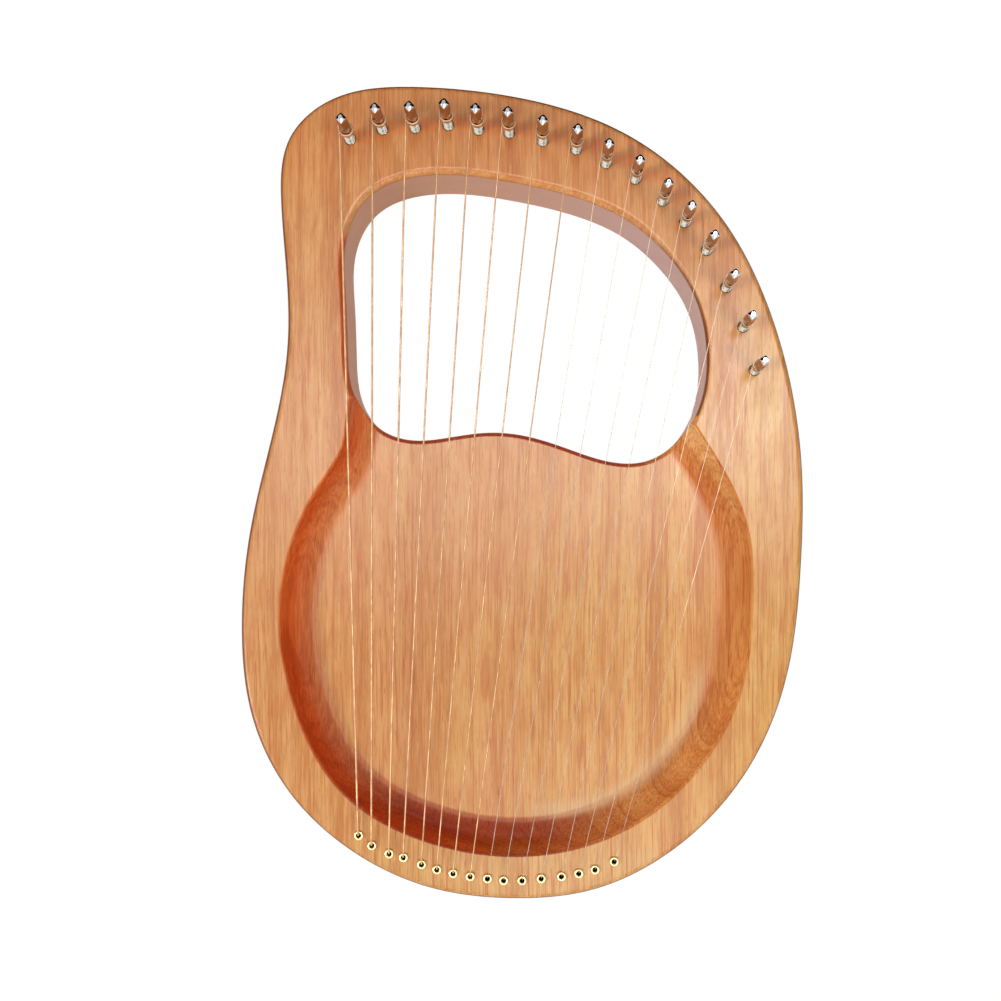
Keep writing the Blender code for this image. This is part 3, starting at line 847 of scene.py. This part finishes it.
def winding(pin, leave_angle, thickness):
    """Points from the pin's cross hole, out, round the pin and down to where the string leaves it."""
    surface = PIN_RADIUS + WINDING_GAP
    circle_radius = surface + thickness / 2
    start_angle = leave_angle - TURNS * 2 * math.pi
    bend = FIRST_BEND * thickness
    straight = surface + thickness
    flat = [(surface, 0), (straight, 0)]
    for angle in np.radians(np.arange(10, 91, 10)):
        flat.append((straight + bend * math.sin(angle), bend * (1 - math.cos(angle))))
    across = np.array([math.cos(start_angle), math.sin(start_angle)])
    sideways = np.array([-across[1], across[0]])
    top = THICKNESS + CROSS_HOLE_HEIGHT
    points = [(*(pin + across * out + sideways * side), top) for out, side in flat]
    bent_radius = math.hypot(*flat[-1])
    bent_angle = math.atan2(flat[-1][1], flat[-1][0])
    swept = TURNS * 2 * math.pi - bent_angle
    steps = round(TURNS * POINTS_PER_TURN)
    pitch = thickness + TURN_SPACE
    for step in range(1, steps + 1):
        turned = swept * step / steps
        closing = min(1, turned / (math.pi / 2))
        ease = closing * closing * (3 - 2 * closing)
        radius = bent_radius + (circle_radius - bent_radius) * ease
        angle = start_angle + bent_angle + turned
        height = top - pitch * turned / (2 * math.pi)
        points.append((pin[0] + radius * math.cos(angle), pin[1] + radius * math.sin(angle), height))
    return np.array(points)


def string_path(pin, eyelet, thickness):
    """The string's centre line from its pin down to its ball end."""
    back = eyelet - pin
    wrap_radius = PIN_RADIUS + WINDING_GAP + thickness / 2
    leave_angle = math.atan2(back[1], back[0]) - math.acos(wrap_radius / np.linalg.norm(back))
    wound = winding(pin, leave_angle, thickness)
    level = THICKNESS + GAP + EYELET_HEIGHT + GAP + thickness / 2
    run = wound[-1] - (*eyelet, level)
    length = np.linalg.norm(run[:2])
    outward = np.array([*run[:2] / length, 0])
    leg = np.array([*eyelet, 0]) + outward * LEG_SHIFT
    over = math.pi / 2 - math.atan(run[2] / length)
    bend = []
    for angle in np.linspace(over, 0, BEND_STEPS + 1):
        rise = level - BEND_RADIUS * (1 - math.sin(angle))
        bend.append(leg + outward * BEND_RADIUS * (1 - math.cos(angle)) + (0, 0, rise))
    return np.vstack([wound, bend, [leg + (0, 0, BALL_HEIGHT)]])


def tube_rings(points, radius):
    """Rings square to a path, turned as little as possible from one to the next."""
    tangents = np.gradient(points, axis=0)
    tangents /= np.linalg.norm(tangents, axis=1)[:, None]
    side = np.array([0, 0, 1.0])
    rings = []
    for point, tangent in zip(points, tangents):
        side = side - tangent * side.dot(tangent)
        side /= np.linalg.norm(side)
        other = np.cross(tangent, side)
        rings.append([point + side * x + other * y for x, y in circle(radius, STRING_SIDES)])
    return rings


def ball_end(name, eyelet):
    """The waisted barrel at the string's end, which lies across the string in the recess."""
    half = BALL_LENGTH / 2
    profile = [(-half, BALL_FACE), (-half, BALL_RADIUS - BALL_CHAMFER)]
    for share in np.linspace(-1, 1, 13):
        radius = BALL_WAIST + (BALL_RADIUS - BALL_WAIST) * share**2
        profile.append((share * (half - BALL_CHAMFER), radius))
    profile += [(half, BALL_RADIUS - BALL_CHAMFER), (half, BALL_FACE)]
    centre = (eyelet[1], BALL_HEIGHT)
    rings = [[(eyelet[0] + x, y, z) for y, z in circle(radius, BALL_SIDES, centre)] for x, radius in profile]
    return new_object(name, skin("ball_end", rings))


def make_string(number, pin, eyelet, thickness, look, ball_look):
    """Makes one string and its ball end, and returns the direction of its pin's cross hole."""
    points = string_path(pin, eyelet, thickness)
    mesh = skin("string", tube_rings(points, thickness / 2))
    lengths = np.concatenate([[0], np.cumsum(np.linalg.norm(np.diff(points, axis=0), axis=1))])
    along = mesh.attributes.new("along", "FLOAT", "POINT")
    along.data.foreach_set("value", np.repeat(lengths, STRING_SIDES).astype(np.float32))
    node = number_name("string", number)
    slot = "bronze_wire" if number <= WOUND_STRINGS else "steel_wire"
    wire = new_object(node + "_wire", mesh)
    dress(wire, look, "harp", slot, node)
    ball = ball_end(node + "_ball", eyelet)
    dress(ball, ball_look, "harp", "eyelet_brass")
    start = points[0][:2] - pin
    return math.atan2(start[1], start[0])


def make_camera():
    camera = bpy.data.cameras.new("camera")
    camera.sensor_width = SENSOR
    camera.lens = PIXELS_PER_METRE * CAMERA_ABOVE_FACE * SENSOR / IMAGE_SIZE
    centre = IMAGE_SIZE / 2
    camera.shift_x = (centre - PRINCIPAL_PIXEL[0]) / IMAGE_SIZE
    camera.shift_y = (PRINCIPAL_PIXEL[1] - centre) / IMAGE_SIZE
    x = (PRINCIPAL_PIXEL[0] - ORIGIN_PIXEL[0]) / PIXELS_PER_METRE
    y = (ORIGIN_PIXEL[1] - PRINCIPAL_PIXEL[1]) / PIXELS_PER_METRE
    made = new_object("camera", camera)
    made.location = (x, y, THICKNESS + CAMERA_ABOVE_FACE)
    bpy.context.scene.camera = made


def area_light(name, place, target, size, power, seen_by="both"):
    light = bpy.data.lights.new(name, "AREA")
    light.shape = "RECTANGLE"
    light.size, light.size_y = size
    light.energy = power
    made = new_object(name, light)
    made.location = place
    made.visible_diffuse = seen_by != "gloss"
    made.visible_glossy = seen_by != "diffuse"
    made.rotation_euler = (Vector(target) - Vector(place)).to_track_quat("-Z", "Y").to_euler()
    return made


def dark_card(name, centre, size):
    """A black card that only reflections see, so that bright metal has something dark to show."""
    x, y, z = centre
    half = [length / 2 for length in size]
    corners = [(x - half[0], y - half[1]), (x - half[0], y + half[1])]
    corners += [(x + half[0], y + half[1]), (x + half[0], y - half[1])]
    card = new_object(name, skin(name, stack([(corners, z - half[2]), (corners, z + half[2])])))
    black = bpy.data.materials.get("card_black") or bpy.data.materials.new("card_black")
    net = Net(black)
    net.surface(net("BsdfDiffuse", {"Color": (0.01, 0.01, 0.01, 1)}))
    card.data.materials.append(black)
    card.visible_camera = False
    card.visible_diffuse = False
    card.visible_shadow = False
    card.visible_transmission = False


def seen_directly(net):
    """One for rays that show the background: from the camera, or off metal and glass."""
    path = net("LightPath").node
    seen = net.math("ADD", path.outputs["Is Camera Ray"], path.outputs["Is Glossy Ray"])
    seen = net.math("ADD", seen, path.outputs["Is Transmission Ray"])
    return net.math("MINIMUM", seen, 1.0)


def make_studio():
    world = bpy.data.worlds.new("studio")
    bpy.context.scene.world = world
    net = Net(world)
    strength = net.range(seen_directly(net), 0, 1, 0.18, 1.0)
    net("OutputWorld", {"Surface": net("Background", {"Color": (1, 1, 1, 1), "Strength": strength})})

    floor_material = bpy.data.materials.new("floor_white")
    net = Net(floor_material)
    diffuse = net("BsdfDiffuse", {"Color": (0.5, 0.5, 0.5, 1)})
    glow = net("Emission", {"Color": (1, 1, 1, 1), "Strength": 1.08})
    share = net.product(seen_directly(net), 0.9)
    net.surface(net("MixShader", {0: share, 1: diffuse, 2: glow}))
    disc = circle(FLOOR_RADIUS, FLOOR_SIDES)
    floor = new_object("floor", skin("floor", stack([(disc, -FLOOR_DEPTH), (disc, 0)])))
    floor.data.materials.append(floor_material)

    dark_card("card_far", (0.1, 0.85, 0.75), (3.4, 0.005, 1.5))
    dark_card("card_right", (1.3, 0.5, 0.55), (0.005, 0.7, 1.1))
    dark_card("card_left", (-1.6, 0.5, 0.55), (0.005, 0.7, 1.1))
    dark_card("card_floor", (0.1, 0.52, 0.004), (2.6, 0.65, 0.002))

    area_light("key", (-1.12, -0.36, 0.93), (0, 0, 0), (0.35, 0.35), 10.7)
    area_light("front", (0.40, -1.0, 1.0), (0, 0, 0), (1.2, 1.0), 6.2)
    area_light("strip", (-0.02, 0.21, 1.43), (-0.02, 0.21, 0), (1.2, 0.38), 1.6)
    area_light("right", (0.62, -0.30, 0.62), (0.1, -0.05, 0), (0.3, 0.3), 2.1, "diffuse")
    area_light("top", (0.0, 0.55, 0.75), (0.0, 0.12, 0), (0.5, 0.2), 1.4, "diffuse")
    area_light("strip_gloss", (-0.02, 0.21, 1.42), (-0.02, 0.21, 0), (1.2, 0.38), 14, "gloss")
    area_light("far_gloss", (0.0, 0.60, 1.43), (0.0, 0.1, 0), (1.2, 0.4), 2, "gloss")
    area_light("right_gloss", (0.41, 0.32, 1.41), (0.1, 0.05, 0), (0.22, 0.22), 5, "gloss")
    area_light("low_gloss", (0.12, -0.60, 1.43), (0.1, -0.1, 0), (0.6, 0.4), 5, "gloss")
    view = bpy.context.scene.view_settings
    view.view_transform = "Standard"


def main():
    make_camera()
    make_studio()
    joints = {joint["child"]: joint for joint in frame["joints"]}
    numbers = range(1, len(THICKNESSES) + 1)
    pins = np.array([joints[number_name("pin", n)]["pos_m"][:2] for n in numbers])
    eyelets = []
    for n in numbers:
        low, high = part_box(number_name("eyelet", n))
        eyelets.append(np.array(((low + high) / 2)[:2]))

    wood = wood_material(pins)
    plated = steel_pin_material()
    # Light and dark tones of each wire, then the painted shade away from its pin
    bronze = ((0.57, 0.36, 0.20), (0.45, 0.27, 0.15), (0.95, 0.97, 0.97))
    bronze_wire = wire_material("bronze_wire", *bronze, 0.4 * MM, 0.08, 0.65)
    steel = ((0.72, 0.62, 0.48), (0.60, 0.51, 0.39), (0.55, 0.59, 0.63))
    steel_wire = wire_material("steel_wire", *steel, 2.0 * MM, 0.05, 0.65)
    brass = brass_material()

    dress(make_board(pins, eyelets), wood, "harp", "board_wood", "board")
    pin_shape = pin_mesh()
    eyelet_shape = eyelet_mesh()
    for n, pin, eyelet, thickness in zip(numbers, pins, eyelets, THICKNESSES):
        wire = bronze_wire if n <= WOUND_STRINGS else steel_wire
        angle = make_string(n, pin, eyelet, thickness * MM, wire, brass)
        tuning_pin = new_object(number_name("steel_pin", n), pin_shape)
        tuning_pin.location = (*pin, THICKNESS)
        tuning_pin.rotation_euler.z = angle
        dress(tuning_pin, plated, number_name("pin", n), "plated_steel", number_name("tuning_pin", n))
        ring = new_object(number_name("brass_eyelet", n), eyelet_shape)
        ring.location = (*eyelet, THICKNESS)
        dress(ring, brass, "harp", "eyelet_brass", number_name("eyelet", n))


main()
